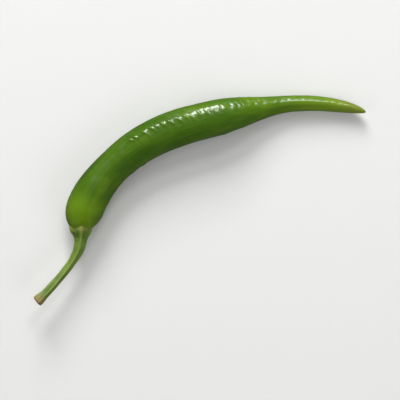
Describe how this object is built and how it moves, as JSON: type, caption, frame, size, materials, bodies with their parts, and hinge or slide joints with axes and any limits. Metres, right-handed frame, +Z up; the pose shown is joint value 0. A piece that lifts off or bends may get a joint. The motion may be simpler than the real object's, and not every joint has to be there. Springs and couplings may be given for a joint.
{
  "type": "chilli pepper",
  "caption": "Long slender green chilli pepper with its calyx and stem, curved in an arch and tapering to a thin pointed tail, lying on its side as picked.",
  "frame": {"origin": "under the middle of the bounding box, on the surface that the pod rests on", "axes": "+X along the longest extent from the stem's cut end to the pod's tip, +Y towards the outer side of the arch, +Z up"},
  "size_m": [0.2198, 0.0634, 0.021],
  "materials": {
    "pod_skin": "smooth waxy skin, glossy with crisp highlights, mid green, yellower at the neck and tail",
    "calyx": "satin, leathery, pale yellow green with lighter ribs",
    "stem": "satin, fibrous, ridged, pale green, drying to light brown at the cut end"
  },
  "bodies": {
    "root": {"pod": "pod_skin", "calyx": "calyx", "stem": "stem"}
  },
  "joints": []
}
